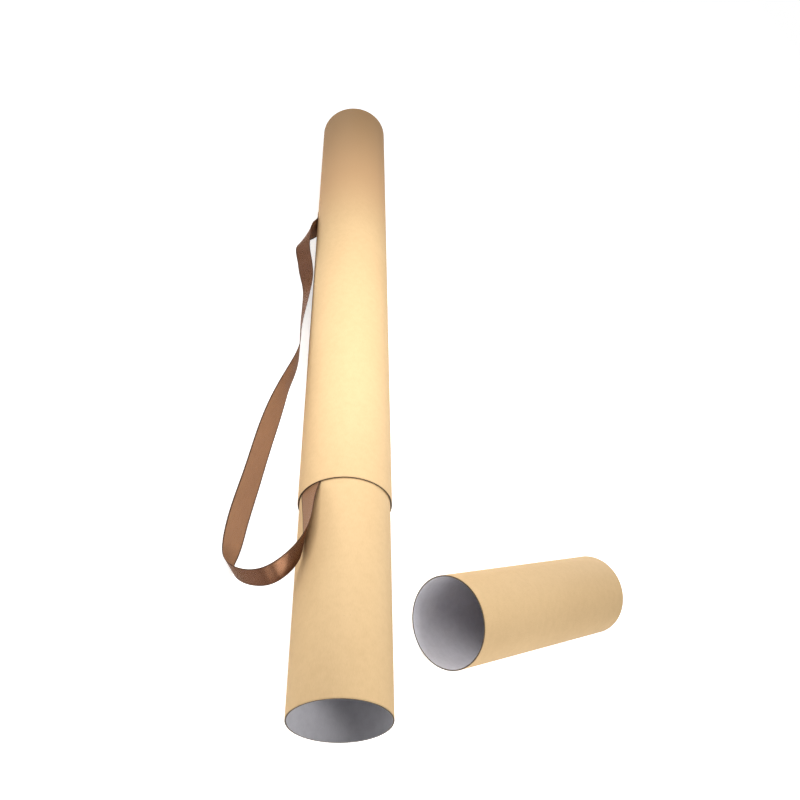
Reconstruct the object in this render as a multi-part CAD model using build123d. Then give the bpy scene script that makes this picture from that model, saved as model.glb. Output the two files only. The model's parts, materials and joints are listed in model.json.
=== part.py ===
from build123d import *
import math
import os

# A strapped poster tube of wound board, with its cap taken off and laid beside it.
# Millimetres. The origin is the centre of the neck's mouth, +Y runs along the tube to its closed
# end and +Z is up. The tube and the cap lie on a floor one tube radius below the axis.

# Board
OUTER_DIAMETER = 80.0       # body tube and cap
BOARD = 1.2                 # wall of every tube
BODY_LENGTH = 608.0
NECK_SHOWN = 185.0          # neck standing out of the body
CAP_LENGTH = 239.0

# End discs
DISC_THICKNESS = 2.0
DISC_SEAT = 0.6             # how far a disc's edge is let into the wall of its tube
DISC_GAP = 0.1              # glue room around a disc

# Strap
STRAP_WIDTH = 25.0
STRAP_THICKNESS = 0.3
GLUE_LINE = 0.05            # on each face of the strap where two tubes hold it
STRAP_TUCK = 22.0           # glued length at each end
RIM_ANGLE = 3.0             # where the strap leaves the rim, degrees above the tube's side
SLIT_ANGLE = -52.0          # where it goes back in, degrees
SLIT_FROM_RIM = 425.0
SLIT_OPENING = 3.0          # along the tube
SLIT_SPARE = 1.0            # beyond each edge of the strap
SURFACE_GAP = 0.15          # strap clear of the board that it lies on
BOW_RUN = 40.0              # free run over which the strap flattens from the curve of a tube
STRAP_STEPS = 80            # sections that shape the free run

# The strap's free run, as places of the middle of the strap. Close to the tube a place is how far
# off the body's skin, how far along from the rim and how many degrees above the tube's side. On the
# floor it is how far out from the tube's side, how far along from the rim and how high above the
# floor. The last number is how many degrees the strap's upper edge leans outward.
STRAP_OFF_RIM = [
    (2.3, -22, 8.6, 12),
    (4.3, -44, 11.7, 22),
    (8.3, -65, 9.6, 38),
    (17.8, -83, 0.1, 46),
]
STRAP_ON_FLOOR = [
    (27.5, -90, 30.5, 59),
    (46.0, -75, 9.0, 56),
    (45.5, -62, 8.5, 63),
    (42.5, -36, 9.0, 67),
    (34.5, 10, 8.0, 65),
    (27.0, 53, 6.5, 65),
    (19.0, 97, 7.2, 60),
    (14.5, 119, 8.2, 52),
    (10.0, 140, 9.8, 43),
    (4.5, 162, 11.5, 37),
    (0.7, 184, 12.5, 32),
    (0.2, 206, 12.0, 31),
    (-0.4, 228, 12.0, 25),
    (-2.4, 272, 13.2, 14),
    (-1.9, 298, 13.8, 8),
    (2.2, 318, 13.7, 3),
    (5.2, 333, 13.6, 3),
    (7.4, 362, 13.1, -3),
]
STRAP_TO_SLIT = [
    (8.8, 385, -34.5, 26),
    (2.8, 400, -40.4, 36),
    (0.9, 412, -45.8, 47),
]

# Where the cap lies
CAP_ASIDE = 72.5            # from the tube's side to the centre of the cap's mouth
CAP_ALONG = 113.5           # from the neck's mouth
CAP_TURN = 26.0             # degrees from square to the tube

# Sizes that follow
OUTER_RADIUS = OUTER_DIAMETER / 2
BORE_RADIUS = OUTER_RADIUS - BOARD
SLIP_GAP = STRAP_THICKNESS + 2 * GLUE_LINE
NECK_RADIUS = BORE_RADIUS - SLIP_GAP
LINING_RADIUS = NECK_RADIUS - BOARD
SEAT_RADIUS = BORE_RADIUS + DISC_SEAT
DISC_RADIUS = SEAT_RADIUS - DISC_GAP
BODY_END = NECK_SHOWN + BODY_LENGTH
SLIT_START = NECK_SHOWN + SLIT_FROM_RIM
SLIT_END = SLIT_START + SLIT_OPENING
HELD_RADIUS = NECK_RADIUS + SLIP_GAP / 2                            # strap between body and neck
LAID_RADIUS = OUTER_RADIUS + SURFACE_GAP + STRAP_THICKNESS / 2      # strap on the body
FLOOR = -OUTER_RADIUS

TUBE_RUN = Vector(0, 1, 0)
CAP_RUN = Vector(1, 0, 0).rotate(Axis.Z, CAP_TURN)
CAP_MOUTH = Vector(OUTER_RADIUS + CAP_ASIDE, CAP_ALONG, 0)


def square_to(run, start):
    """A plane square to a tube's run."""
    return Plane(origin=start, x_dir=(0, 0, 1), z_dir=run)


def tube(run, start, outer, inner, length):
    """A round tube that runs from start."""
    ring = Circle(outer) - Circle(inner)
    return extrude(square_to(run, start) * ring, length)


def plate(run, end, radius):
    """A round plate as thick as a disc, with its last face at the end."""
    first_face = end - run * DISC_THICKNESS
    return extrude(square_to(run, first_face) * Circle(radius), DISC_THICKNESS)


def closed_tube(run, start, length):
    """A tube of the full diameter, with a seat for a disc in its far end."""
    wall = tube(run, start, OUTER_RADIUS, BORE_RADIUS, length)
    return wall - plate(run, start + run * length, SEAT_RADIUS)


def upward(angle):
    """The way up round the tube at an angle above its side."""
    turn = math.radians(angle)
    return Vector(math.sin(turn), 0, math.cos(turn))


def outward(angle):
    """The way out of the tube at an angle above its side."""
    turn = math.radians(angle)
    return Vector(-math.cos(turn), 0, math.sin(turn))


def square(way, ahead):
    """A way, turned square to the way ahead."""
    return (way - ahead * way.dot(ahead)).normalized()


def strap_section(middle, across, face, bow=None):
    """The strap cut across. With a bow it is curved about a tube of that radius, which lies behind
    its face, or in front of it where the bow is negative."""

    def place(side, lift):
        if bow is None:
            return middle + across * side + face * lift
        turn = side / bow
        reach = bow + lift
        return middle + across * (reach * math.sin(turn)) + face * (reach * math.cos(turn) - bow)

    def long_edge(lift, first, last):
        if bow is None:
            return Line(place(first, lift), place(last, lift))
        return ThreePointArc(place(first, lift), place(0, lift), place(last, lift))

    half = STRAP_WIDTH / 2
    skin = STRAP_THICKNESS / 2
    back = long_edge(-skin, -half, half)
    front = long_edge(skin, half, -half)
    return Wire([back, Line(back @ 1, front @ 0), front, Line(front @ 1, back @ 0)])


def strap_on_tube(radius, y, angle, ahead):
    """The strap where it lies curved on a tube, running along it or back."""
    out = outward(angle)
    middle = out * radius + TUBE_RUN * y
    face = ahead.cross(upward(angle))
    return strap_section(middle, upward(angle), face, radius * face.dot(out))


def strap_by_tube(off_skin, past_rim, angle, lean):
    """A place of the strap close to the tube, with its lean."""
    return outward(angle) * (OUTER_RADIUS + off_skin) + TUBE_RUN * (NECK_SHOWN + past_rim), lean


def strap_on_floor(out, past_rim, height, lean):
    """A place of the strap on the floor, with its lean."""
    return Vector(-OUTER_RADIUS - out, NECK_SHOWN + past_rim, FLOOR + height), lean


def strap_lines():
    """The strap's middle and its upper edge along the free run, as two smooth lines."""
    places = [
        *(strap_by_tube(*place) for place in STRAP_OFF_RIM),
        *(strap_on_floor(*place) for place in STRAP_ON_FLOOR),
        *(strap_by_tube(*place) for place in STRAP_TO_SLIT),
    ]
    rim = outward(RIM_ANGLE) * HELD_RADIUS + TUBE_RUN * NECK_SHOWN
    slit = outward(SLIT_ANGLE) * LAID_RADIUS + TUBE_RUN * SLIT_START
    chain = [rim, *(middle for middle, lean in places), slit]
    across = [upward(RIM_ANGLE)]
    for before, after, (middle, lean) in zip(chain, chain[2:], places):
        across.append(square(upward(-lean), (after - before).normalized()))
    across.append(upward(SLIT_ANGLE))
    upper = [middle + way * STRAP_WIDTH / 2 for middle, way in zip(chain, across)]
    return Spline(*chain), Spline(*upper)


def strap_bow(from_rim, to_slit):
    """The radius that the strap is bowed to on its free run. By either end it follows the tube there,
    then it flattens."""
    if from_rim < BOW_RUN:
        return HELD_RADIUS / (1 - from_rim / BOW_RUN)
    if to_slit < BOW_RUN:
        return -LAID_RADIUS / (1 - to_slit / BOW_RUN)
    return None


def strap_free_sections():
    """The strap cut across at even steps of its free run, without the two ends."""
    middle_line, upper_line = strap_lines()
    run = middle_line.length
    sections = []
    for step in range(1, STRAP_STEPS):
        part_way = step / STRAP_STEPS
        middle = middle_line @ part_way
        ahead = middle_line % part_way
        across = square(upper_line @ part_way - middle, ahead)
        bow = strap_bow(run * part_way, run * (1 - part_way))
        sections.append(strap_section(middle, across, ahead.cross(across), bow))
    return sections


# Tubes and their ends
body_tube = closed_tube(TUBE_RUN, TUBE_RUN * NECK_SHOWN, BODY_LENGTH)
slit_half = math.degrees((STRAP_WIDTH / 2 + SLIT_SPARE) / OUTER_RADIUS)
slit_sides = [outward(SLIT_ANGLE + turn) * OUTER_DIAMETER for turn in (-slit_half, slit_half)]
slit_wedge = Polyline((0, 0, 0), *slit_sides, close=True)
body_tube -= Pos(0, SLIT_START, 0) * extrude(make_face(slit_wedge), SLIT_OPENING, dir=TUBE_RUN)

base_disc = plate(TUBE_RUN, TUBE_RUN * BODY_END, DISC_RADIUS)
neck_length = BODY_END - DISC_THICKNESS
neck_tube = tube(TUBE_RUN, Vector(0, 0, 0), NECK_RADIUS, LINING_RADIUS, neck_length)

cap_tube = closed_tube(CAP_RUN, CAP_MOUTH, CAP_LENGTH)
cap_disc = plate(CAP_RUN, CAP_MOUTH + CAP_RUN * CAP_LENGTH, DISC_RADIUS)

# The strap: one end held under the rim, the free run, and the other end through the slit
strap = Solid.make_loft(
    [
        strap_on_tube(HELD_RADIUS, NECK_SHOWN + STRAP_TUCK, RIM_ANGLE, -TUBE_RUN),
        strap_on_tube(HELD_RADIUS, NECK_SHOWN, RIM_ANGLE, -TUBE_RUN),
        *strap_free_sections(),
        strap_on_tube(LAID_RADIUS, SLIT_START, SLIT_ANGLE, TUBE_RUN),
        strap_on_tube(HELD_RADIUS, SLIT_END, SLIT_ANGLE, TUBE_RUN),
        strap_on_tube(HELD_RADIUS, SLIT_END + STRAP_TUCK, SLIT_ANGLE, TUBE_RUN),
    ],
    ruled=True,
)

parts = {
    "body_tube": body_tube,
    "neck_tube": neck_tube,
    "base_disc": base_disc,
    "cap_tube": cap_tube,
    "cap_disc": cap_disc,
    "strap": strap,
}

os.makedirs("parts", exist_ok=True)
for name, shape in parts.items():
    export_step(shape, f"parts/{name}.step")
    print(name, len(shape.solids()), "solid", round(shape.volume), "mm3")

strap_length = strap.volume / (STRAP_WIDTH * STRAP_THICKNESS)
print("strap length", round(strap_length), "mm, of which free", round(strap_length - 2 * STRAP_TUCK))
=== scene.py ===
# %% [markdown]
# A poster tube of wound kraft board lies on a studio floor. Its deep cap is off and lies beside it,
# and a brown satin ribbon, the carrying strap, lies in a loop at the tube's side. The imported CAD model
# gives the sizes and places. This lesson dresses it: board with a worn rim, a pale lining, and a woven
# ribbon. One could paint the CAD solids as they are, but a tube has a different face outside, inside
# and on its cut edge, so the tubes are turned again here with a finish for each face.

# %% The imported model
import json
import math

import bmesh
import bpy
import numpy as np
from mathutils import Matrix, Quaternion, Vector


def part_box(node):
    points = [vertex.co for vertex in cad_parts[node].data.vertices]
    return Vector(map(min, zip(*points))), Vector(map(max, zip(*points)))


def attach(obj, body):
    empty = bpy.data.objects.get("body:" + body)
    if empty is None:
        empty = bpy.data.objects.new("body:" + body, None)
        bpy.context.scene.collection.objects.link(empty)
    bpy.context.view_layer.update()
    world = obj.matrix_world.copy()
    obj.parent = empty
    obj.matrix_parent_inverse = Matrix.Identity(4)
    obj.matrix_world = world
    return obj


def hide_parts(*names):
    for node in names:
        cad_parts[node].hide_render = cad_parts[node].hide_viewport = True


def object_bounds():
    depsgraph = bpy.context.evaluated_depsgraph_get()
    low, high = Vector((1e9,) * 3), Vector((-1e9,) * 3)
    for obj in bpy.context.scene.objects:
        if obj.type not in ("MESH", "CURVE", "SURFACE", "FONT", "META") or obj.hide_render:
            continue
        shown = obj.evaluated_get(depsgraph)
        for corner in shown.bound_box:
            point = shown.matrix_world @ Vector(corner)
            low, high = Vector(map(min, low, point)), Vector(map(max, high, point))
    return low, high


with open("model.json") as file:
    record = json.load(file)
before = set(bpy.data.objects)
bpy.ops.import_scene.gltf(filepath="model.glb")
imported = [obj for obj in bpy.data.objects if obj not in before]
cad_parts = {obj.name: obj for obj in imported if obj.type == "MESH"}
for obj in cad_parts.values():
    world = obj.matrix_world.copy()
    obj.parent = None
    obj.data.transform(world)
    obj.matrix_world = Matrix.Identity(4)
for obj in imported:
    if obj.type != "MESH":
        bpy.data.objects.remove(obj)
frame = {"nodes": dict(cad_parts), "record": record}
cad_low, cad_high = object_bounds()
mounts = {mount["name"]: mount for mount in frame["record"]["mounts"]}
print("nodes", sorted(frame["nodes"]), "box", [round(side, 3) for side in cad_high - cad_low])

# %% [markdown]
# The sizes come from the record's mounts: the lining of the tube, the bore of the cap, and where the
# cap lies. Only the thickness of the board is written here again. Measuring the mesh would do as well,
# but a mount is the size that a maker would quote.

# %% Sizes from the frame
BOARD = 0.0012
MM = 0.001

LINING_RADIUS = mounts["poster_bore"]["dims"]["r_mm"] * MM
BORE_RADIUS = mounts["cap_bore"]["dims"]["r_mm"] * MM
NECK_RADIUS = LINING_RADIUS + BOARD
OUTER_RADIUS = BORE_RADIUS + BOARD

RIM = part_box("body_tube")[0].y
BODY_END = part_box("body_tube")[1].y
DISC_THICKNESS = BODY_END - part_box("base_disc")[0].y
DISC_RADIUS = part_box("base_disc")[1].z
CAP_MOUTH = Vector(mounts["cap_bore"]["pos_m"])
CAP_RUN = -Vector(mounts["cap_bore"]["axis"])
CAP_LENGTH = (Vector(mounts["cap_end"]["pos_m"]) - CAP_MOUTH).length
FLOOR = -OUTER_RADIUS
print("outer radius", round(OUTER_RADIUS, 4), "rim at", round(RIM, 3))
print("cap length", round(CAP_LENGTH, 3))

# %% [markdown]
# A material is a graph of nodes, and a sum in it takes several of them. Adding each node by hand hides
# the sum. This class wraps one output of a node, so that a plain Python sum on it adds the Math nodes,
# and its one method for nodes adds any other.


# %% Sums that build nodes
class Wire:
    """One output socket in a material, which Python's operators can work on."""

    def __init__(self, tree, socket=None):
        self.tree = tree
        self.socket = socket

    def node(self, kind, settings=None, sockets=None, output=0):
        """Add a node: first its settings, then the values or wires of its sockets."""
        made = self.tree.nodes.new(kind)
        for name, value in (settings or {}).items():
            setattr(made, name, value)
        for name, value in (sockets or {}).items():
            if isinstance(value, Wire):
                self.tree.links.new(value.socket, made.inputs[name])
            else:
                made.inputs[name].default_value = value
        return Wire(self.tree, made.outputs[output])

    def math(self, operation, *values):
        """Add a Math node."""
        return self.node("ShaderNodeMath", {"operation": operation}, dict(enumerate(values)))

    def __add__(self, other):
        return self.math("ADD", self, other)

    def __radd__(self, other):
        return self.math("ADD", other, self)

    def __sub__(self, other):
        return self.math("SUBTRACT", self, other)

    def __rsub__(self, other):
        return self.math("SUBTRACT", other, self)

    def __mul__(self, other):
        return self.math("MULTIPLY", self, other)

    def __rmul__(self, other):
        return self.math("MULTIPLY", other, self)


def step(value, start, end):
    """0 before start, 1 after end and a soft ramp between."""
    return value.node(
        "ShaderNodeMapRange",
        {"interpolation_type": "SMOOTHSTEP"},
        {"Value": value, "From Min": start, "From Max": end},
    )


def wave(value, length):
    """A swing between -1 and 1, once in every length."""
    return value.math("SINE", value * (2 * math.pi / length))


def blend(amount, first, second):
    """A colour between two."""
    return amount.node(
        "ShaderNodeMix",
        {"data_type": "RGBA"},
        {"Factor": amount, 6: first, 7: second},
        output=2,
    )


print("wires ready")

# %% [markdown]
# Every finish starts the same way: a new material, its Principled shader, and the place on the piece.
# Each tube is turned along its own Y, so its place gives the distance from its mouth and, round the
# axis, its radius. Noise drawn out along Y reads as paper fibre. An image of paper would be quicker,
# but noise follows the piece at its true scale and has no seam.


# %% A finish and its place on the piece
def new_finish(name):
    """A new material, its shader and a wire to build with."""
    material = bpy.data.materials.new(name)
    material.use_nodes = True
    shader = material.node_tree.nodes["Principled BSDF"]
    return material, shader, Wire(material.node_tree)


def feed(shader, **sockets):
    """Give the shader its values and wires. A socket's name has an underscore for each space."""
    for name, value in sockets.items():
        socket = shader.inputs[name.replace("_", " ")]
        if isinstance(value, Wire):
            value.tree.links.new(value.socket, socket)
        else:
            socket.default_value = value


def place_on_piece(wire):
    """Where a point is on its piece, in metres."""
    return wire.node("ShaderNodeTexCoord", output="Object")


def scaled(place, scales):
    """A place with its axes scaled. A scale below 1 draws noise out along its axis."""
    return place.node("ShaderNodeVectorMath", {"operation": "MULTIPLY"}, {0: place, 1: scales})


def axis_of(place, axis):
    """One coordinate of a place."""
    return place.node("ShaderNodeSeparateXYZ", sockets={"Vector": place}, output=axis)


def noise(place, size, detail=2.0):
    """Noise from 0 to 1 with grains of about that size in metres."""
    return place.node(
        "ShaderNodeTexNoise", sockets={"Vector": place, "Scale": 1 / size, "Detail": detail}
    )


def bump(height, depth, **sockets):
    """A surface that stands up where height is 1, by depth in metres."""
    return height.node("ShaderNodeBump", sockets={"Height": height, "Distance": depth, **sockets})


print("finish helpers ready")

# %% [markdown]
# Kraft paper is brown pulp: cloudy at the scale of a few millimetres, with fine fibres along the tube
# and a few dark flecks. It has a faint gloss from the rollers. A flat brown would match the photograph
# from afar, but the fibres are what tells board from plastic close to. The rim is rubbed dark, and
# towards its closed end the tube is painted browner and darker, as painted shade where the light falls
# off. Both follow the distance from the mouth, in metres.

# %% Kraft paper
KRAFT = (0.80, 0.565, 0.305, 1)
KRAFT_SHADE = (0.73, 0.505, 0.265, 1)
# Painted shade: a browner tone for the far end, where the light falls off.
KRAFT_PAINTED_FAR_SHADE = (0.75, 0.46, 0.24, 1)
# A dark brown for flecks, the rubbed rim and painted shade at the closed end.
KRAFT_FLECK_AND_PAINTED_SHADE = (0.36, 0.22, 0.11, 1)
FIBRE = 0.0004
CLOUD = 0.006
PATCH = 0.07
FIBRE_SCALES = (1, 0.14, 1)
FINE_DETAIL = 3.0
FIBRE_SHARE, CLOUD_SHARE, PATCH_SHARE = 0.45, 0.3, 0.25
TONE_RAMP = (0.3, 0.7)
FLECK_CLOUDS = 0.4
FLECK_RAMP = (0.56, 0.62)
RUBBED_RAMP = (0.0, 0.0016)
# The next ramps and shares place painted shade towards the far end, in metres from the mouth.
PAINTED_FAR_SHADE_RAMP = (0.33, 0.47)
PAINTED_END_SHADE_RAMP = (0.47, 0.62)
PAINTED_FAR_SHADE_SHARE = 0.9
FLECK_SHARE, RUBBED_SHARE, PAINTED_END_SHADE_SHARE = 0.35, 0.4, 0.25
KRAFT_ROUGHNESS, KRAFT_FIBRE_ROUGHNESS = 0.6, 0.14
KRAFT_GLOSS = 0.15
CLOUD_HEIGHT = 0.5
KRAFT_RELIEF = 0.00002


def kraft_paper(name):
    """Brown board, darker where the rim is rubbed, and painted browner and darker towards the far end as
    painted shade.
    """
    material, shader, wire = new_finish(name)
    place = place_on_piece(wire)
    along = axis_of(place, "Y")
    fibres = noise(scaled(place, FIBRE_SCALES), FIBRE, FINE_DETAIL)
    clouds = noise(place, CLOUD, FINE_DETAIL)
    patches = noise(place, PATCH)
    tone = FIBRE_SHARE * fibres + CLOUD_SHARE * clouds + PATCH_SHARE * patches
    flecks = step(fibres * (1 - FLECK_CLOUDS + FLECK_CLOUDS * clouds), *FLECK_RAMP)
    rubbed = 1 - step(along, *RUBBED_RAMP)
    # Painted shade: browner and darker towards the far end.
    far_end_painted_shade = step(along, *PAINTED_FAR_SHADE_RAMP)
    closed_end_painted_shade = step(along, *PAINTED_END_SHADE_RAMP)
    # Flecks and the rubbed rim are the paper's own; the far-end part is painted shade.
    dark = FLECK_SHARE * flecks + RUBBED_SHARE * rubbed + PAINTED_END_SHADE_SHARE * closed_end_painted_shade
    paper = blend(step(tone, *TONE_RAMP), KRAFT_SHADE, KRAFT)
    paper = blend(PAINTED_FAR_SHADE_SHARE * far_end_painted_shade, paper, KRAFT_PAINTED_FAR_SHADE)
    feed(
        shader,
        Base_Color=blend(dark, paper, KRAFT_FLECK_AND_PAINTED_SHADE),
        Roughness=KRAFT_ROUGHNESS + KRAFT_FIBRE_ROUGHNESS * fibres,
        Specular_IOR_Level=KRAFT_GLOSS,
        Normal=bump(fibres + CLOUD_HEIGHT * clouds, KRAFT_RELIEF),
    )
    return material


kraft = kraft_paper("kraft_paper")
print("finish", kraft.name)

# %% [markdown]
# Inside, the tubes are lined with white paper, which shows grey because little light gets in. Body and
# cap are cut from another tube than the neck, but their lining is the same paper: the neck's copy is
# painted darker, as painted shade, and theirs lighter, as painted light. Plain white would do for so
# dark a place, but the grain shows near the mouth.

# %% Lining
# One lining paper in two copies: painted shade in the neck, painted light in body and cap.
NECK_LINING_PAINTED_SHADE = (0.61, 0.60, 0.63, 1)
NECK_LINING_GRAIN_PAINTED_SHADE = (0.553, 0.541, 0.57, 1)
CAP_LINING_PAINTED_LIGHT = (0.77, 0.765, 0.82, 1)
CAP_LINING_GRAIN_PAINTED_LIGHT = (0.70, 0.695, 0.745, 1)
LINING_RAMP = (0.3, 0.65)
LINING_ROUGHNESS, LINING_GRAIN_ROUGHNESS = 0.55, 0.15
LINING_GLOSS = 0.3
LINING_RELIEF = 0.000015


def lining_paper(name, light, shade):
    """White paper with a fine grain."""
    material, shader, wire = new_finish(name)
    place = place_on_piece(wire)
    grain = noise(scaled(place, FIBRE_SCALES), FIBRE, FINE_DETAIL)
    clouds = noise(place, CLOUD)
    feed(
        shader,
        Base_Color=blend(step(0.5 * (grain + clouds), *LINING_RAMP), shade, light),
        Roughness=LINING_ROUGHNESS + LINING_GRAIN_ROUGHNESS * grain,
        Specular_IOR_Level=LINING_GLOSS,
        Normal=bump(grain, LINING_RELIEF),
    )
    return material


# The neck's copy is painted shade, the body's and cap's copy is painted light.
neck_lining_painted_shade = lining_paper("neck_lining_painted_shade", NECK_LINING_PAINTED_SHADE, NECK_LINING_GRAIN_PAINTED_SHADE)
cap_lining_painted_light = lining_paper("cap_lining_painted_light", CAP_LINING_PAINTED_LIGHT, CAP_LINING_GRAIN_PAINTED_LIGHT)
print("finishes", neck_lining_painted_shade.name, cap_lining_painted_light.name)

# %% [markdown]
# On the cut edge the plies of the board show as thin dark rings. They could be cut as grooves, but a
# ply is only 0.3 mm thick, so the colour and the bump follow the distance from the axis instead.

# %% Cut edge
PLY = 0.0003
PLY_LIGHT = (0.2, 0.16, 0.12, 1)
PLY_DARK = (0.07, 0.055, 0.045, 1)
PLY_CONTRAST, GRAIN_CONTRAST = 0.3, 0.5
EDGE_ROUGHNESS, EDGE_GRAIN_ROUGHNESS = 0.8, 0.1
EDGE_GLOSS = 0.2
PLY_HEIGHT = 0.5
EDGE_RELIEF = 0.00005


def board_edge(name):
    """The cut end of wound board, ply by ply."""
    material, shader, wire = new_finish(name)
    place = place_on_piece(wire)
    side = axis_of(place, "X")
    height = axis_of(place, "Z")
    plies = wave(wire.math("SQRT", side * side + height * height), PLY)
    grain = noise(place, FIBRE)
    light = 0.5 + PLY_CONTRAST * plies + GRAIN_CONTRAST * (grain - 0.5)
    feed(
        shader,
        Base_Color=blend(light, PLY_DARK, PLY_LIGHT),
        Roughness=EDGE_ROUGHNESS + EDGE_GRAIN_ROUGHNESS * grain,
        Specular_IOR_Level=EDGE_GLOSS,
        Normal=bump(PLY_HEIGHT * plies + grain, EDGE_RELIEF),
    )
    return material


cut_edge = board_edge("board_edge")
print("finish", cut_edge.name)

# %% [markdown]
# A tube is a closed outline turned about its axis. The outline runs along the outside, over the far
# edge, back along the lining and over the mouth's edge, and each stretch of it notes its finish. Where
# a disc closes the tube, the outline steps out to a seat for it. A cylinder with a hole through it
# would be quicker to make, but would have no seat and one finish all over.

# %% A tube's outline
OUTSIDE, INSIDE, CUT = range(3)
STATION = 0.04


def outline(outer, inner, length, cuts=(), seat=None):
    """Points (along, radius) round a tube's wall, and the finish of each stretch."""
    stations = sorted({0.0, length, *cuts, *np.arange(STATION, length - STATION, STATION)})
    points = [(along, outer) for along in stations]
    finishes = [OUTSIDE] * (len(stations) - 1) + [CUT]
    back = length
    if seat:
        points += [(length, seat), (length - DISC_THICKNESS, seat)]
        finishes += [CUT, CUT]
        back = length - DISC_THICKNESS
    inside = [back] + [along for along in reversed(stations) if along < back]
    points += [(along, inner) for along in inside]
    finishes += [INSIDE] * (len(inside) - 1) + [CUT]
    return points, finishes


print("outline ready")

# %% [markdown]
# Blender can spin an outline with an operator, but here each stretch has its own finish and the body
# has a slit, so the rings are joined face by face.


# %% Turning an outline
def turn_point(radius, along, angle):
    """A point round the tube. The angle is above its side."""
    return (-radius * math.cos(angle), along, radius * math.sin(angle))


def wall_slit(shape, rings, open_rows, open_columns):
    """Close the board's thickness round the slit."""
    outer_row, inner_row = open_rows
    near_out, far_out = rings[outer_row], rings[outer_row + 1]
    far_in, near_in = rings[inner_row], rings[inner_row + 1]
    walls = []
    for column in (open_columns[0], open_columns[-1] + 1):
        walls.append((near_out[column], far_out[column], far_in[column], near_in[column]))
    for outer, inner in ((near_out, near_in), (far_out, far_in)):
        for column in open_columns:
            walls.append((outer[column], outer[column + 1], inner[column + 1], inner[column]))
    for wall in walls:
        shape.faces.new(wall).material_index = CUT


def turned_mesh(name, points, finishes, angles, slit=None):
    """Turn an outline into a closed mesh, leaving a slit open through the wall if there is one."""
    shape = bmesh.new()
    rings = []
    for along, radius in points:
        rings.append([shape.verts.new(turn_point(radius, along, angle)) for angle in angles])
    open_rows, open_columns = slit or ([], [])
    for row, (ring, after) in enumerate(zip(rings, rings[1:] + rings[:1])):
        for column in range(len(angles)):
            if row in open_rows and column in open_columns:
                continue
            beside = (column + 1) % len(angles)
            face = shape.faces.new((ring[column], ring[beside], after[beside], after[column]))
            face.material_index = finishes[row]
    if slit:
        wall_slit(shape, rings, open_rows, open_columns)
    bmesh.ops.recalc_face_normals(shape, faces=shape.faces)
    for face in shape.faces:
        face.smooth = True
    mesh = bpy.data.meshes.new(name)
    shape.to_mesh(mesh)
    shape.free()
    return mesh


print("turning ready")

# %% [markdown]
# A turned mesh then gets its three finishes, and a narrow bevel takes the sharpness off the cut edges,
# as rubbing does. The edges could be rounded in the outline, but a bevel rounds the slit as well.

# %% A piece of board
RIM_ROUND = 0.00025
ROUND_SEGMENTS = 2
SHARP_FROM = math.radians(50)


def board_piece(mesh, lining):
    """A piece of board from a turned mesh, with its finishes and rubbed edges."""
    for material in (kraft, lining, cut_edge):
        mesh.materials.append(material)
    piece = bpy.data.objects.new(mesh.name, mesh)
    bpy.context.scene.collection.objects.link(piece)
    rounding = piece.modifiers.new("rubbed edges", "BEVEL")
    rounding.width = RIM_ROUND
    rounding.segments = ROUND_SEGMENTS
    rounding.limit_method = "ANGLE"
    rounding.angle_limit = SHARP_FROM
    rounding.harden_normals = True
    return piece


print("edges rounded by", RIM_ROUND)

# %% [markdown]
# The body is the outer tube, with a seat for the disc that closes it and a slit on its underside for
# one end of the strap. A boolean could cut the slit, but it leaves long thin faces, so some of the
# rings' angles and stations are put at the slit's edges, and the faces between them are left out.

# %% The body tube
TURN_STEPS = 192
SLIT_STEPS = 20
SLIT_ANGLE = math.radians(-52.0)
SLIT_FROM_RIM = 0.425
SLIT_OPENING = 0.003
SLIT_SPARE = 0.001
STRAP_WIDTH = 0.025
DISC_GAP = 0.0001

slit_half = (STRAP_WIDTH / 2 + SLIT_SPARE) / OUTER_RADIUS
slit_low, slit_high = SLIT_ANGLE - slit_half, SLIT_ANGLE + slit_half
body_angles = np.concatenate([
    np.linspace(slit_low, slit_high, SLIT_STEPS, endpoint=False),
    np.linspace(slit_high, slit_low + 2 * math.pi, TURN_STEPS - SLIT_STEPS, endpoint=False),
])
slit_cuts = (SLIT_FROM_RIM, SLIT_FROM_RIM + SLIT_OPENING)
seat_radius = DISC_RADIUS + DISC_GAP

points, finishes = outline(OUTER_RADIUS, BORE_RADIUS, BODY_END - RIM, slit_cuts, seat_radius)
slit_rows = (
    points.index((slit_cuts[0], OUTER_RADIUS)),
    points.index((slit_cuts[1], BORE_RADIUS)),
)
body_slit = (slit_rows, range(SLIT_STEPS))
body_mesh = turned_mesh("body_tube_board", points, finishes, body_angles, body_slit)
body = board_piece(body_mesh, cap_lining_painted_light)
body.location.y = RIM
print(body.name, len(body_mesh.polygons), "faces")

# %% [markdown]
# The neck is the inner tube. It runs the whole length inside the body and stands out of it at the
# mouth. The cap is a short piece of the outer tube, turned on the floor to where it lies. Each piece
# then stands for its CAD node, which could be shown itself, but has one finish and sharp edges.

# %% The neck and the cap
even_angles = np.linspace(0, 2 * math.pi, TURN_STEPS, endpoint=False)

points, finishes = outline(NECK_RADIUS, LINING_RADIUS, BODY_END - DISC_THICKNESS)
neck = board_piece(turned_mesh("neck_tube_board", points, finishes, even_angles), neck_lining_painted_shade)

points, finishes = outline(OUTER_RADIUS, BORE_RADIUS, CAP_LENGTH, seat=seat_radius)
cap = board_piece(turned_mesh("cap_tube_board", points, finishes, even_angles), cap_lining_painted_light)
cap.location = CAP_MOUTH
cap.rotation_euler.z = math.atan2(CAP_RUN.y, CAP_RUN.x) - math.pi / 2

board_pieces = (
    (body, "body_tube", "kraft"),
    (neck, "neck_tube", "neck"),
    (cap, "cap_tube", "kraft"),
)
for piece, node, slot in board_pieces:
    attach(piece, "root")
    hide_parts(node)
    print(piece.name, "stands for", node)

# %% [markdown]
# The two discs that close the tubes are plain plates let into their seats. They could be turned again
# too, but only their flat faces show, so they stay as the CAD made them, in kraft paper.

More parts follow.
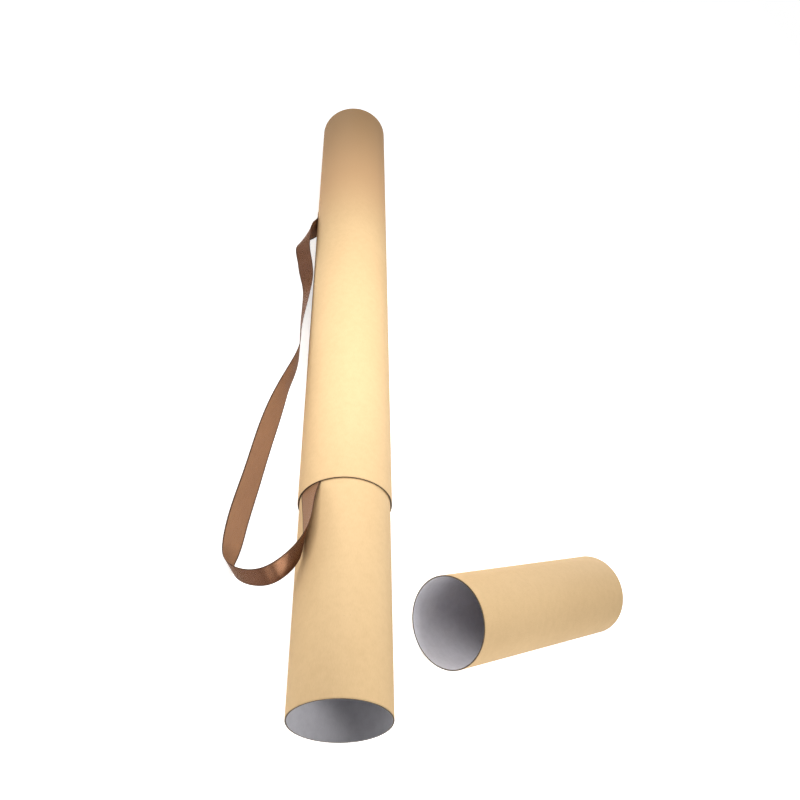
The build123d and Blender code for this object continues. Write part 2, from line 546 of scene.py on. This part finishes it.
# %% The end discs
for node in ("base_disc", "cap_disc"):
    disc = frame["nodes"][node]
    disc.data.materials.clear()
    disc.data.materials.append(kraft)
    print(node, "in", disc.active_material.name)

# %% [markdown]
# The strap is a satin ribbon 25 mm wide. One end is glued between body and neck at the rim, and it
# comes out flat on the neck, turns over in a loop, runs back along the floor on its edge and goes in
# through the slit. A cloth simulation would not stop in the photograph's shape, so the ribbon follows
# the same listed places as the CAD strap, on a smooth line through them. Close to the tube a place
# is how far off the skin, how far from the rim and how many degrees above the side. On the floor it is
# how far out from the side, how far from the rim and how high. The last number is the lean in degrees.

# %% The strap's route
STRAP_OFF_RIM = [
    (0.0023, -0.022, 8.6, 12),
    (0.0043, -0.044, 11.7, 22),
    (0.0083, -0.065, 9.6, 38),
    (0.0178, -0.083, 0.1, 46),
]
STRAP_ON_FLOOR = [
    (0.0275, -0.090, 0.0305, 59),
    (0.0460, -0.075, 0.0090, 56),
    (0.0455, -0.062, 0.0085, 63),
    (0.0425, -0.036, 0.0090, 67),
    (0.0345, 0.010, 0.0080, 65),
    (0.0270, 0.053, 0.0065, 65),
    (0.0190, 0.097, 0.0072, 60),
    (0.0145, 0.119, 0.0082, 52),
    (0.0100, 0.140, 0.0098, 43),
    (0.0045, 0.162, 0.0115, 37),
    (0.0007, 0.184, 0.0125, 32),
    (0.0002, 0.206, 0.0120, 31),
    (-0.0004, 0.228, 0.0120, 25),
    (-0.0024, 0.272, 0.0132, 14),
    (-0.0019, 0.298, 0.0138, 8),
    (0.0022, 0.318, 0.0137, 3),
    (0.0052, 0.333, 0.0136, 3),
    (0.0074, 0.362, 0.0131, -3),
]
STRAP_TO_SLIT = [
    (0.0088, 0.385, -34.5, 26),
    (0.0028, 0.400, -40.4, 36),
    (0.0009, 0.412, -45.8, 47),
]


def outward(degrees):
    """The way out of the tube at an angle above its side."""
    angle = math.radians(degrees)
    return np.array([-math.cos(angle), 0, math.sin(angle)])


def upward(degrees):
    """The way up round the tube at an angle above its side."""
    angle = math.radians(degrees)
    return np.array([math.sin(angle), 0, math.cos(angle)])


def by_tube(off_skin, past_rim, degrees, lean):
    """A place close to the tube, and the way across the ribbon there."""
    return outward(degrees) * (OUTER_RADIUS + off_skin) + (0, RIM + past_rim, 0), upward(-lean)


def on_floor(out, past_rim, height, lean):
    """A place on the floor, and the way across the ribbon there."""
    return np.array([-OUTER_RADIUS - out, RIM + past_rim, FLOOR + height]), upward(-lean)


free_run = [
    *(by_tube(*place) for place in STRAP_OFF_RIM),
    *(on_floor(*place) for place in STRAP_ON_FLOOR),
    *(by_tube(*place) for place in STRAP_TO_SLIT),
]
print("places on the strap's free run", len(free_run))

# %% [markdown]
# The ribbon's middle and its upper edge each follow a natural cubic spline, the line that a thin strip
# of wood takes through pegs. A Blender curve would need its handles set by hand at every place. This
# spline finds its own bends, as one small set of equations.


# %% A smooth line through places
def smooth_line(places, count):
    """Points at even steps on a natural cubic spline through the places."""
    places = np.array(places)
    gaps = np.linalg.norm(np.diff(places, axis=0), axis=1)
    knots = np.concatenate([[0], np.cumsum(gaps)])
    slopes = np.diff(places, axis=0) / gaps[:, None]
    balance = np.eye(len(knots))
    pull = np.zeros_like(places)
    for knot in range(1, len(knots) - 1):
        before, after = gaps[knot - 1], gaps[knot]
        balance[knot, knot - 1:knot + 2] = before, 2 * (before + after), after
        pull[knot] = 6 * (slopes[knot] - slopes[knot - 1])
    bends = np.linalg.solve(balance, pull)
    at = np.linspace(0, knots[-1], count)
    span = np.clip(np.searchsorted(knots, at) - 1, 0, len(gaps) - 1)
    gap = gaps[span][:, None]
    late = (at - knots[span])[:, None] / gap
    early = 1 - late
    lift = (early**3 - early) * bends[span] + (late**3 - late) * bends[span + 1]
    return early * places[span] + late * places[span + 1] + lift * gap**2 / 6


def unit(ways):
    """Ways made one long."""
    return ways / np.linalg.norm(ways, axis=-1, keepdims=True)


def run_along(line):
    """How far each point of a line is from its start."""
    return np.concatenate([[0], np.cumsum(np.linalg.norm(np.diff(line, axis=0), axis=1))])


print("spline ready")

# %% [markdown]
# At every step of the line a row of points goes across the ribbon. Where it is glued to a tube, a row
# is bent round it, and over 40 mm from the rim and to the slit the ribbon flattens. A flat ribbon would
# be simpler, but it would cut into the tubes where it touches them.

# %% A row across the ribbon
STRAP_THICKNESS = 0.0003
GLUE_LINE = 0.00005
SURFACE_GAP = 0.00015
RIBBON_COLUMNS = 24
SLIP_GAP = STRAP_THICKNESS + 2 * GLUE_LINE
HELD_RADIUS = NECK_RADIUS + SLIP_GAP / 2
LAID_RADIUS = OUTER_RADIUS + SURFACE_GAP + STRAP_THICKNESS / 2
sides = np.linspace(-STRAP_WIDTH / 2, STRAP_WIDTH / 2, RIBBON_COLUMNS + 1)


def bowed_row(middle, way, face, curve):
    """Points across the ribbon, bent to a curve of 1 over its radius, and the way off its face."""
    turns = sides * curve
    across = sides * np.sinc(turns / math.pi)
    lift = -sides * np.sin(turns / 2) * np.sinc(turns / 2 / math.pi)
    places = middle + np.outer(across, way) + np.outer(lift, face)
    return places, np.outer(np.sin(turns), way) + np.outer(np.cos(turns), face)


def held_row(radius, along, degrees, facing):
    """A row bent round a tube. The ribbon's face looks out of the tube for 1, into it for -1."""
    out = outward(degrees)
    return bowed_row(out * radius + (0, along, 0), upward(degrees), facing * out, facing / radius)


print("points across the ribbon", len(sides))

# %% [markdown]
# The rows start with the end that is glued under the rim, follow the free run and finish with the end
# that goes in through the slit. On the free run the two splines give the middle and the way across.
# Sweeping a flat outline along a curve would be the usual way, but its twist is hard to steer.

# %% The ribbon's rows
RIM_ANGLE = 3.0
STRAP_TUCK = 0.022
BOW_RUN = 0.040
RUN_STEPS = 420
slit_degrees = math.degrees(SLIT_ANGLE)
slit_start = RIM + SLIT_FROM_RIM
slit_end = slit_start + SLIT_OPENING


def free_lines():
    """The ribbon's middle and its upper edge from rim to slit, as two smooth lines."""
    rim_place = outward(RIM_ANGLE) * HELD_RADIUS + (0, RIM, 0)
    slit_place = outward(slit_degrees) * LAID_RADIUS + (0, slit_start, 0)
    middles = [rim_place, *(place for place, way in free_run), slit_place]
    across = [upward(RIM_ANGLE)]
    for before, after, (place, way) in zip(middles, middles[2:], free_run):
        ahead = unit(after - before)
        across.append(unit(way - ahead * way.dot(ahead)))
    across.append(upward(slit_degrees))
    uppers = [place + way * STRAP_WIDTH / 2 for place, way in zip(middles, across)]
    return smooth_line(middles, RUN_STEPS), smooth_line(uppers, RUN_STEPS)


def free_rows():
    """The rows of the free run."""
    middle_line, upper_line = free_lines()
    ahead = unit(np.gradient(middle_line, axis=0))
    way = upper_line - middle_line
    way = unit(way - ahead * (way * ahead).sum(axis=1, keepdims=True))
    face = np.cross(ahead, way)
    from_rim = run_along(middle_line)
    to_slit = from_rim[-1] - from_rim
    curve = np.clip(1 - from_rim / BOW_RUN, 0, 1) / HELD_RADIUS
    curve -= np.clip(1 - to_slit / BOW_RUN, 0, 1) / LAID_RADIUS
    return [bowed_row(*row) for row in zip(middle_line, way, face, curve)]


rows = [
    held_row(HELD_RADIUS, RIM + STRAP_TUCK, RIM_ANGLE, 1),
    held_row(HELD_RADIUS, RIM, RIM_ANGLE, 1),
    *free_rows()[1:-1],
    held_row(LAID_RADIUS, slit_start, slit_degrees, -1),
    held_row(HELD_RADIUS, slit_end, slit_degrees, -1),
    held_row(HELD_RADIUS, slit_end + STRAP_TUCK, slit_degrees, -1),
]
run = run_along([places[RIBBON_COLUMNS // 2] for places, ways in rows])
print("strap length", round(run[-1], 3))

# %% [markdown]
# The ribbon is a closed thin mesh: a front and a back sheet, half a thickness off the rows, which meet
# along a slightly thicker woven selvage. UV coordinates run across and along it, so that the weave
# follows every bend. Solidify would give the thickness too, but not the thicker edge.

# %% The ribbon
# The selvage band, 1.8 mm wide, also carries painted shadow along the ribbon's edges.
SELVAGE = 0.0018
SELVAGE_EXTRA = 0.00008
EDGE_HALF = STRAP_THICKNESS / 3
PLAIN_SIDE, SATIN_SIDE = range(2)


def ribbon_sheets(shape):
    """The points of the front and the back sheet, row by row."""
    edge_distance = STRAP_WIDTH / 2 - np.abs(sides)
    half = STRAP_THICKNESS / 2 + SELVAGE_EXTRA * np.clip(1 - edge_distance / SELVAGE, 0, 1)
    half[[0, -1]] = EDGE_HALF
    sheets = []
    for lift in (half, -half):
        lifted = [places + ways * lift[:, None] for places, ways in rows]
        sheets.append([[shape.verts.new(point) for point in row] for row in lifted])
    return sheets


def ribbon_quads(front, back):
    """The ribbon's faces as a side and four corners: the two sheets, the selvages and the ends."""
    quads = []
    for row in range(len(rows) - 1):
        for column in range(RIBBON_COLUMNS):
            for side, sheet in ((PLAIN_SIDE, front), (SATIN_SIDE, back)):
                quads.append((side, sheet[row][column], sheet[row][column + 1],
                              sheet[row + 1][column + 1], sheet[row + 1][column]))
        for column in (0, RIBBON_COLUMNS):
            quads.append((SATIN_SIDE, front[row][column], front[row + 1][column],
                          back[row + 1][column], back[row][column]))
    for row in (0, len(rows) - 1):
        for column in range(RIBBON_COLUMNS):
            quads.append((SATIN_SIDE, front[row][column], front[row][column + 1],
                          back[row][column + 1], back[row][column]))
    return quads


def ribbon_mesh(name):
    """Front and back sheets joined at the edges and ends, with UVs in metres."""
    shape = bmesh.new()
    uv_layer = shape.loops.layers.uv.new("weave")
    front, back = ribbon_sheets(shape)
    weave = {}
    for sheet in (front, back):
        for row, distance in zip(sheet, run):
            for vert, side in zip(row, sides):
                weave[vert] = (side, distance)
    for side, *corners in ribbon_quads(front, back):
        face = shape.faces.new(corners)
        face.material_index = side
        face.smooth = True
        for loop in face.loops:
            loop[uv_layer].uv = weave[loop.vert]
    bmesh.ops.recalc_face_normals(shape, faces=shape.faces)
    mesh = bpy.data.meshes.new(name)
    shape.to_mesh(mesh)
    shape.free()
    return mesh


strap = bpy.data.objects.new("strap_ribbon", ribbon_mesh("strap_ribbon"))
bpy.context.scene.collection.objects.link(strap)
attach(strap, "root")
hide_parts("strap")
print("ribbon faces", len(strap.data.polygons))

# %% [markdown]
# A single-face satin ribbon has two sides. The satin side shows long threads that lie along it like
# fine rods, and it shines in bands across the ribbon, in the colour of the thread. Its colour is painted
# about half as light as the plain side's: painted shade, which keeps it dark where its shine mirrors the
# bright surroundings. Bump can't show rods much finer than a pixel, so a normal map leans the surface to
# and fro across each thread, and some metal tints the shine. The plain side, which looks into the loop,
# is paler with a softer shine. Across both run fine ribs of weft, and each edge has a darker, twisted
# selvage, made darker and wider as painted shadow along the edges.

# %% Satin ribbon
PLAIN_THREAD = (0.385, 0.205, 0.111, 1)
PLAIN_SHADE = (0.318, 0.166, 0.089, 1)
# Painted shade: the satin side is coloured about half as light as the plain side.
SATIN_THREAD_PAINTED_SHADE = (0.19, 0.096, 0.054, 1)
SATIN_GRAIN_PAINTED_SHADE = (0.15, 0.075, 0.042, 1)
# Dark selvage colour: partly the selvage's own, partly painted shadow along the edges.
RIBBON_EDGE_AND_PAINTED_SHADOW = (0.07, 0.04, 0.027, 1)
RIBBON_SHINE = (0.5, 0.3, 0.2, 1)
THREAD = 0.00035
THREAD_SCALES = (1, 0.03, 1)
RIB = 0.0007
TWIST = 2 * RIB
THREAD_RAMP = (0.3, 0.7)
# The selvage ramp is wide enough to carry painted shadow along the edges.
SELVAGE_AND_SHADOW_RAMP = (STRAP_WIDTH / 2 - SELVAGE, STRAP_WIDTH / 2 - SELVAGE / 2)
SELVAGE_AND_SHADOW_SHARE = 0.9
THREAD_HEIGHT, RIB_HEIGHT = 0.5, 0.3
THREAD_ROUGHNESS, SELVAGE_ROUGHNESS = 0.1, 0.2
RIBBON_GLOSS = 0.06
RIBBON_RELIEF = 0.000012


def thread_rods(side, lean):
    """A normal that leans to and fro across each thread."""
    slope = side.math("SIGN", wave(side, THREAD))
    leaning = {"X": 0.5 + lean / 2 * slope, "Y": 0.5, "Z": 1.0}
    colour = side.node("ShaderNodeCombineXYZ", sockets=leaning)
    return side.node("ShaderNodeNormalMap", {"uv_map": "weave"}, {"Color": colour})


def ribbon_side(name, thread, shade, roughness, metal, lean):
    """One side of the ribbon, with threads, weft ribs and a darker selvage that is partly painted
    shadow.
    """
    material, shader, wire = new_finish(name)
    weave = wire.node("ShaderNodeTexCoord", output="UV")
    side = axis_of(weave, "X")
    along = axis_of(weave, "Y")
    threads = noise(scaled(weave, THREAD_SCALES), THREAD)
    ribs = wave(along, RIB)
    twist = wave(along + side, TWIST)
    # The darker selvage is partly painted shadow along the edges.
    selvage = step(wire.math("ABSOLUTE", side), *SELVAGE_AND_SHADOW_RAMP)
    cloth = blend(step(threads, *THREAD_RAMP), shade, thread)
    woven = THREAD_HEIGHT * threads + RIB_HEIGHT * ribs
    height = (1 - selvage) * woven + selvage * twist
    feed(
        shader,
        Base_Color=blend(SELVAGE_AND_SHADOW_SHARE * selvage, cloth, RIBBON_EDGE_AND_PAINTED_SHADOW),
        Roughness=roughness + THREAD_ROUGHNESS * threads + SELVAGE_ROUGHNESS * selvage,
        Metallic=metal,
        Specular_IOR_Level=RIBBON_GLOSS,
        Specular_Tint=RIBBON_SHINE,
        Normal=bump(height, RIBBON_RELIEF, Normal=thread_rods(side, lean)),
    )
    return material


strap.data.materials.append(
    ribbon_side("ribbon_plain_side", PLAIN_THREAD, PLAIN_SHADE, roughness=0.32, metal=0.2, lean=0.8)
)
strap.data.materials.append(
    # The satin side's darker colour is painted shade.
    ribbon_side("ribbon_satin_side_painted_shade", SATIN_THREAD_PAINTED_SHADE, SATIN_GRAIN_PAINTED_SHADE, roughness=0.19, metal=0.56, lean=0.57)
)
print("ribbon sides", [material.name for material in strap.data.materials])

# %% [markdown]
# The floor is plain and white. For what the camera sees, some light of its own lifts it to white: less
# near the object, where the lamps light it, and more further out. That light doesn't reach the object.
# The contact shadow stays, because there the lamps' share is missing. A shadow catcher would hide the
# floor altogether. Past the floor the world is white too, and it lights the object only faintly.

# %% Floor and backdrop
FLOOR_HALF = 30.0
FLOOR_PAINT = 0.9
FLOOR_ROUGHNESS = 0.9
LIFT_NEAR = 0.65
LIFT_FAR = 0.96
LIFT_RAMP = (0.2, 0.6)
AMBIENT = 0.05
SEEN_RAYS = ("Is Camera Ray", "Is Glossy Ray", "Is Transmission Ray")


def grey(level):
    """A grey colour, from black at 0 to white at 1."""
    return (level, level, level, 1)


def seen_ray(wire):
    """1 for what the camera sees, also in a reflection or through glass."""
    direct, mirrored, through = (wire.node("ShaderNodeLightPath", output=ray) for ray in SEEN_RAYS)
    return wire.math("MAXIMUM", wire.math("MAXIMUM", direct, mirrored), through)


def studio_floor(name):
    """A wide white floor under the tube."""
    under = (cad_low + cad_high) / 2
    bpy.ops.mesh.primitive_plane_add(size=2 * FLOOR_HALF, location=(under.x, under.y, FLOOR))
    floor = bpy.context.object
    floor.name = name
    material, shader, wire = new_finish(name)
    distance = wire.node(
        "ShaderNodeVectorMath", {"operation": "LENGTH"}, {0: place_on_piece(wire)}, output="Value"
    )
    lift = blend(step(distance, *LIFT_RAMP), grey(LIFT_NEAR), grey(LIFT_FAR))
    feed(
        shader,
        Base_Color=grey(FLOOR_PAINT),
        Roughness=FLOOR_ROUGHNESS,
        Specular_IOR_Level=0.0,
        Emission_Color=blend(seen_ray(wire), grey(0), lift),
        Emission_Strength=1.0,
    )
    floor.data.materials.append(material)


def studio_world(name):
    """Soft light from all round, and white where the camera looks past the floor."""
    world = bpy.data.worlds.new(name)
    world.use_nodes = True
    level = AMBIENT + (1 - AMBIENT) * seen_ray(Wire(world.node_tree))
    feed(world.node_tree.nodes["Background"], Color=grey(1), Strength=level)
    bpy.context.scene.world = world


studio_floor("studio_floor")
studio_world("studio_world")
print("floor at", round(FLOOR, 3))

# %% [markdown]
# The photograph was lit from near the camera: the tube is brightest along the middle of what shows, and
# falls off towards its far end. One large lamp would light it evenly, so six small soft boxes share the
# work. One stands on the left and one over the middle. One in front on the right puts the bright band
# on the satin where the loop turns, and a low one in front looks into the mouths. A weak one on the
# right and a low one behind keep the far sides and the closed end from going dark in other views.

# %% Lamps
BOX = 0.3
LOW_BOX = 0.08
TUBE_FRONT = (0.03, 0.25, 0.0)
TUBE_MIDDLE = (-0.03, 0.40, 0.0)
CLOSED_END = (0.0, 0.79, 0.0)


def soft_box(name, place, target, power, height=BOX):
    """A flat lamp that faces its target, with its power in watts."""
    lamp = bpy.data.lights.new(name, "AREA")
    lamp.shape = "RECTANGLE"
    lamp.size = BOX
    lamp.size_y = height
    lamp.energy = power
    lamp_object = bpy.data.objects.new(name, lamp)
    bpy.context.scene.collection.objects.link(lamp_object)
    lamp_object.location = place
    way = Vector(target) - Vector(place)
    lamp_object.rotation_euler = way.to_track_quat("-Z", "Y").to_euler()
    print(name, "at", place)


soft_box("left_lamp", (-0.40, 0.25, 0.34), TUBE_FRONT, 2.05)
soft_box("top_lamp", (-0.10, 0.40, 0.38), TUBE_MIDDLE, 1.3)
soft_box("front_lamp", (0.40, -0.40, 0.58), TUBE_FRONT, 3.5)
soft_box("mouth_lamp", (0.20, -0.63, 0.22), TUBE_FRONT, 1.25)
soft_box("right_lamp", (0.49, 0.52, 0.14), TUBE_FRONT, 0.8)
soft_box("back_lamp", (0.0, 1.35, 0.0), CLOSED_END, 1.8, height=LOW_BOX)

# %% [markdown]
# The camera stands where the photograph's did. It could be placed by eye, but matching the outlines of
# tube and cap gives its place, its lens and its roll at once. It is rolled by a little more than half a
# right angle, so that the tube stands upright in the picture. The Standard view shows a colour as it is
# written.

# %% Camera
CAMERA_PLACE = Vector((-0.35236, -0.24003, 0.46632))
CAMERA_TARGET = Vector((0.06680, 0.34760, 0.0))
CAMERA_ROLL = math.radians(50.80)
FOCAL_PIXELS = 843.757
PICTURE_PIXELS = 800
SENSOR_WIDTH = 36.0
NEAREST = 0.01

camera = bpy.data.cameras.new("camera")
camera.sensor_width = SENSOR_WIDTH
camera.lens = FOCAL_PIXELS / PICTURE_PIXELS * SENSOR_WIDTH
camera.clip_start = NEAREST
camera_object = bpy.data.objects.new("camera", camera)
bpy.context.scene.collection.objects.link(camera_object)
camera_object.location = CAMERA_PLACE
level_turn = (CAMERA_TARGET - CAMERA_PLACE).to_track_quat("-Z", "Y")
camera_object.rotation_mode = "QUATERNION"
camera_object.rotation_quaternion = level_turn @ Quaternion((0, 0, 1), CAMERA_ROLL)
bpy.context.scene.camera = camera_object
bpy.context.scene.view_settings.view_transform = "Standard"
print("lens", round(camera.lens, 2))
